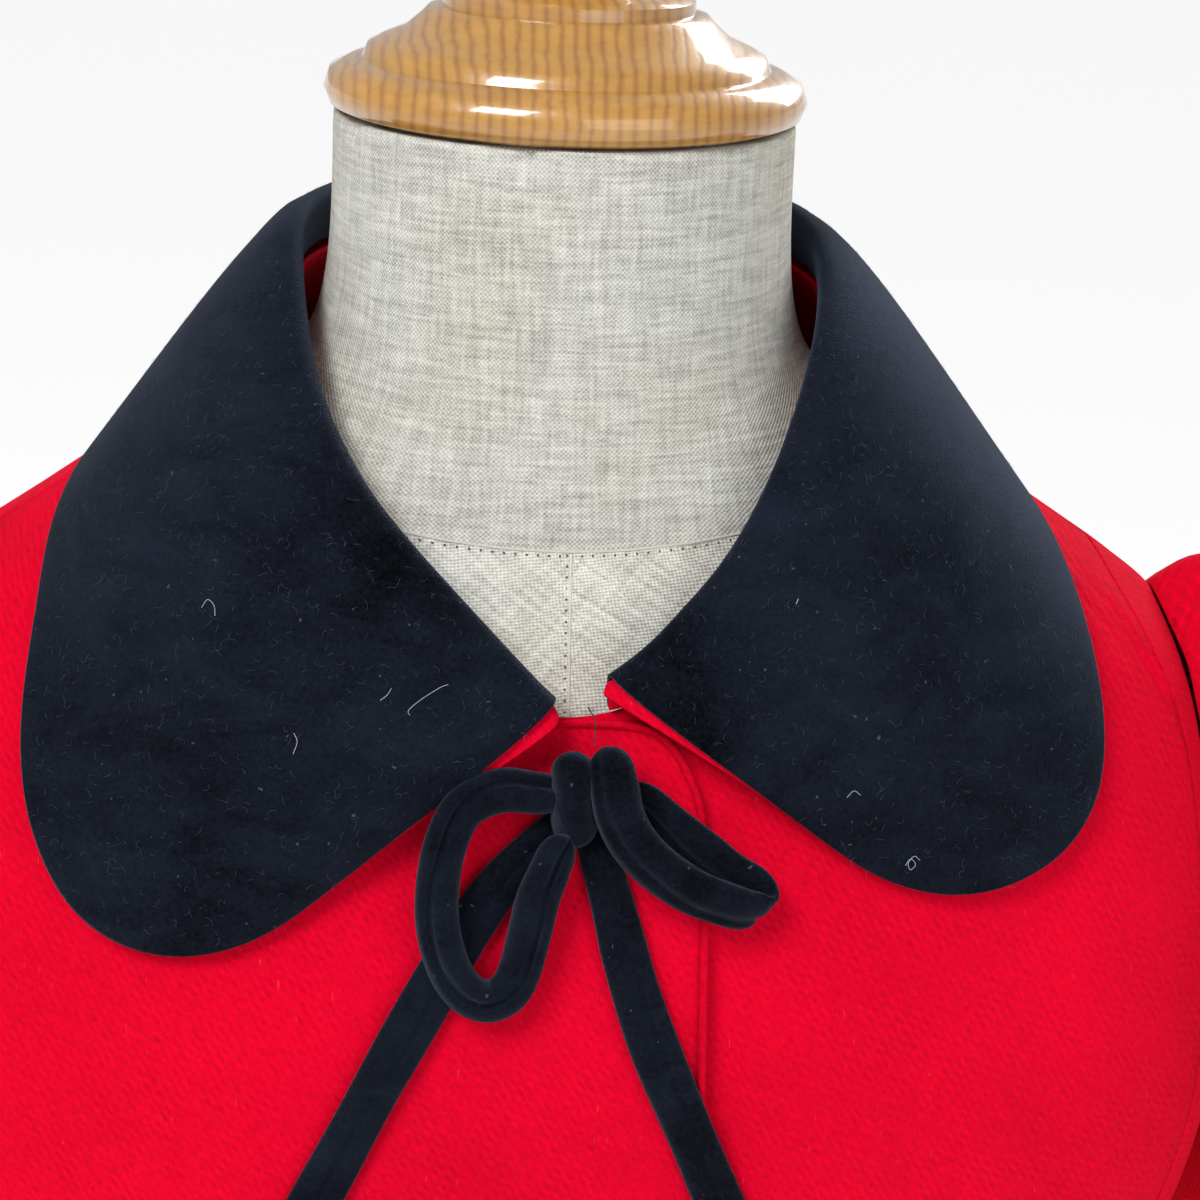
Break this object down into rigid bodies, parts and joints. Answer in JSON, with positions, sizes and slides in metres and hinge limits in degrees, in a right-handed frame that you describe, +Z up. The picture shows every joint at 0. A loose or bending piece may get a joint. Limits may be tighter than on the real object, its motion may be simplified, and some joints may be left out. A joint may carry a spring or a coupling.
{
  "type": "princess coat on a dress form with stand",
  "caption": "Fitted red wool princess coat with a wide black velvet collar, a velvet bow at the neck, puffed sleeves and a flared skirt, on a linen dress form with a wooden cap and stand",
  "frame": {"origin": "on the floor under the centre of the stand's foot and of the form's neck", "axes": "+Z up the stand and the form; the coat's front faces -Y; +X is the wearer's left, which is the right of a viewer who faces the front"},
  "size_m": [0.637, 0.5248, 1.5675],
  "materials": {
    "red_wool": "matte",
    "black_velvet": "matte",
    "black_button": "satin",
    "linen": "matte",
    "varnished_wood": "gloss"
  },
  "bodies": {
    "root": {"front_right": "red_wool", "front_left": "red_wool", "side_front_right": "red_wool", "side_front_left": "red_wool", "side_back_right": "red_wool", "side_back_left": "red_wool", "back": "red_wool", "sleeve_right": "red_wool", "sleeve_left": "red_wool", "collar_under": "red_wool", "collar_velvet": "black_velvet", "bow_knot": "black_velvet", "bow_loop_right": "black_velvet", "bow_loop_left": "black_velvet", "tie_tail_right": "black_velvet", "tie_tail_left": "black_velvet", "button_1": "black_button", "button_2": "black_button", "button_3": "black_button", "button_4": "black_button", "form_body": "linen", "neck_cap": "varnished_wood", "stand_pole": "varnished_wood", "stand_base": "varnished_wood"}
  },
  "joints": []
}
